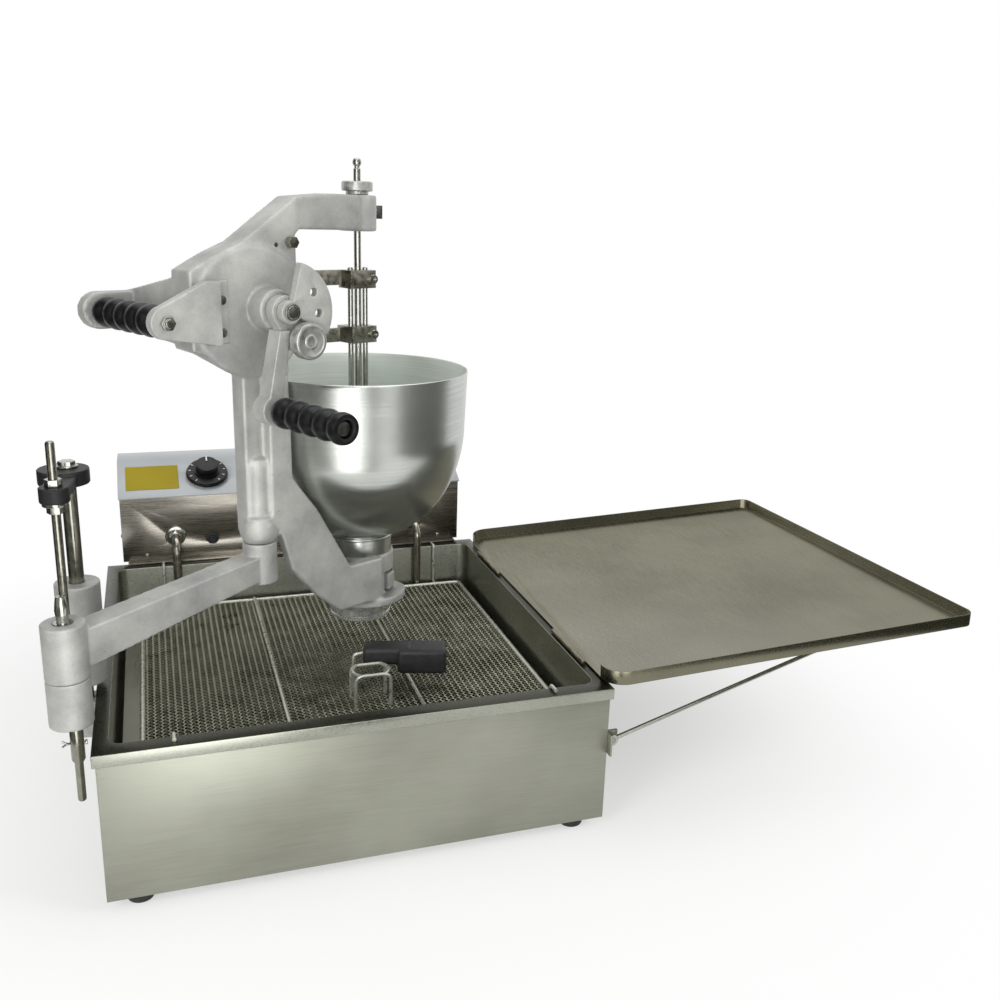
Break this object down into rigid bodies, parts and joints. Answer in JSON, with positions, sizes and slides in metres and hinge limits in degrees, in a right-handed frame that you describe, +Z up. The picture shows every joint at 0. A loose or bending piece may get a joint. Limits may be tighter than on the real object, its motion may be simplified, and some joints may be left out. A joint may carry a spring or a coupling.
{
  "type": "donut depositor fryer",
  "caption": "Table-top electric fryer with a fry screen, a folding drain tray and a swing-arm donut depositor, whose hand crank lifts a cutter and a plunger in a hopper.",
  "frame": {"origin": "on the bench, under the middle of the tank", "axes": "+X to the drain tray, +Y to the control head, +Z up"},
  "size_m": [0.9936, 0.636, 0.6788],
  "materials": {
    "stainless": "brushed stainless sheet",
    "cast_aluminium": "sand-cast, tumbled matte",
    "spun_aluminium": "spun and polished",
    "bright_steel": "turned and polished steel",
    "enamel": "pale enamel",
    "black_paint": "black paint",
    "bakelite": "glossy black moulding",
    "black_plastic": "matte black moulding",
    "rubber": "black rubber",
    "mesh_steel": "woven wire",
    "ceramic": "white ceramic"
  },
  "bodies": {
    "base": {"casing": "stainless", "oil_pan": "stainless", "rubber_feet": "rubber", "element_tube": "stainless", "element_nuts": "bright_steel", "head_box": "stainless", "head_panel": "enamel", "head_bracket": "stainless", "head_screws": "bright_steel", "thermostat_body": "black_plastic", "limiter_body": "black_plastic", "terminal_block": "ceramic", "cable_gland": "black_plastic", "tray_hinges": "bright_steel", "strut_bracket": "stainless", "post": "bright_steel", "post_bracket": "cast_aluminium", "top_plate": "black_paint", "guide_rod": "bright_steel", "rod_fasteners": "bright_steel", "plate_bolt": "bright_steel", "split_pin": "bright_steel"},
    "knob": {"thermostat_knob": "bakelite"},
    "reset": {"reset_button": "black_plastic"},
    "screen": {"screen_frame": "bright_steel", "screen_mesh": "mesh_steel", "screen_handle": "bright_steel", "screen_grip": "black_plastic"},
    "drain_tray": {"tray": "stainless"},
    "strut": {"tray_strut": "stainless"},
    "slider": {"slider_casting": "cast_aluminium", "arm_pin": "bright_steel"},
    "arm": {"swing_arm": "cast_aluminium"},
    "head": {"depositor_frame": "cast_aluminium", "head_pin": "bright_steel", "grip_bracket": "cast_aluminium", "frame_screws": "bright_steel", "grip_bolt": "bright_steel", "hopper": "spun_aluminium", "nozzle": "spun_aluminium"},
    "hand_grip": {"left_grip": "bakelite"},
    "crank": {"crank_shaft": "bright_steel", "crank_lever": "cast_aluminium", "grip_spindle": "bright_steel", "cutter_cam": "bright_steel", "plunger_cam": "bright_steel"},
    "turn_grip": {"crank_grip": "bakelite"},
    "sector": {"dose_sector": "cast_aluminium"},
    "dose_lock": {"dose_knob": "spun_aluminium"},
    "cutter": {"upper_yoke": "bright_steel", "cutter_rods": "bright_steel", "cutter_sleeve": "bright_steel"},
    "plunger": {"lower_yoke": "bright_steel", "plunger_rod": "bright_steel", "plunger_disc": "bright_steel"},
    "collar": {"rod_collar": "spun_aluminium"},
    "lock_screw": {"set_screw": "bright_steel"}
  },
  "joints": [
    {"name": "knob_turn", "type": "hinge", "parent": "base", "child": "knob", "pos_m": [-0.117, 0.28425, 0.27125], "axis": [0, -0.488, 0.8729], "range_deg": [-290, 0]},
    {"name": "reset_press", "type": "slide", "parent": "base", "child": "reset", "axis": [0, 1, 0], "range_m": [0, 0.003], "stiffness_N_per_m": 100},
    {"name": "screen_lift", "type": "slide", "parent": "base", "child": "screen", "axis": [0, 0, 1], "range_m": [0, 0.04]},
    {"name": "tray_fold", "type": "hinge", "parent": "base", "child": "drain_tray", "pos_m": [0.241, -0.002, 0.16565], "axis": [0, -1, 0], "range_deg": [0, 75]},
    {"name": "strut_fold", "type": "hinge", "parent": "base", "child": "strut", "pos_m": [0.255, -0.243, 0.1], "axis": [0, 1, 0], "range_deg": [0, 38]},
    {"name": "column_lift", "type": "slide", "parent": "base", "child": "slider", "axis": [0, 0, 1], "range_m": [0, 0.04]},
    {"name": "arm_swing", "type": "hinge", "parent": "slider", "child": "arm", "pos_m": [-0.265, -0.218, 0.252], "axis": [0, 0, 1], "range_deg": [-95, 25]},
    {"name": "head_swing", "type": "hinge", "parent": "arm", "child": "head", "pos_m": [-0.08503, -0.09198, 0.312], "axis": [0, 0, 1], "range_deg": [-15, 35]},
    {"name": "left_grip_spin", "type": "hinge", "parent": "head", "child": "hand_grip", "pos_m": [-0.19229, -0.10174, 0.525], "axis": [-0.454, 0.891, 0], "continuous": true},
    {"name": "crank_turn", "type": "hinge", "parent": "head", "child": "crank", "pos_m": [-0.07434, -0.08654, 0.532], "axis": [0.454, -0.891, 0], "range_deg": [-60, 0]},
    {"name": "crank_grip_spin", "type": "hinge", "parent": "crank", "child": "turn_grip", "pos_m": [-0.04498, -0.18381, 0.44], "axis": [0.454, -0.891, 0], "continuous": true},
    {"name": "dose_set", "type": "hinge", "parent": "crank", "child": "sector", "pos_m": [-0.05391, -0.12663, 0.532], "axis": [0.454, -0.891, 0], "range_deg": [0, 34]},
    {"name": "dose_lock_turn", "type": "hinge", "parent": "crank", "child": "dose_lock", "pos_m": [-0.03779, -0.12964, 0.505], "axis": [0.454, -0.891, 0], "continuous": true},
    {"name": "cutter_slide", "type": "slide", "parent": "head", "child": "cutter", "axis": [0, 0, 1], "range_m": [0, 0.0141]},
    {"name": "plunger_slide", "type": "slide", "parent": "head", "child": "plunger", "axis": [0, 0, 1], "range_m": [0, 0.0081]},
    {"name": "collar_turn", "type": "hinge", "parent": "head", "child": "collar", "pos_m": [0.03851, 0.01137, 0.648], "axis": [0, 0, 1], "continuous": true},
    {"name": "set_screw_turn", "type": "hinge", "parent": "head", "child": "lock_screw", "pos_m": [0.06123, 0.02294, 0.624], "axis": [0.891, 0.454, 0], "continuous": true}
  ],
  "couplings": [
    {"joint": "cutter_slide", "follows": "crank_turn", "m_per_rad": -0.013369},
    {"joint": "plunger_slide", "follows": "crank_turn", "m_per_rad": -0.007639}
  ]
}
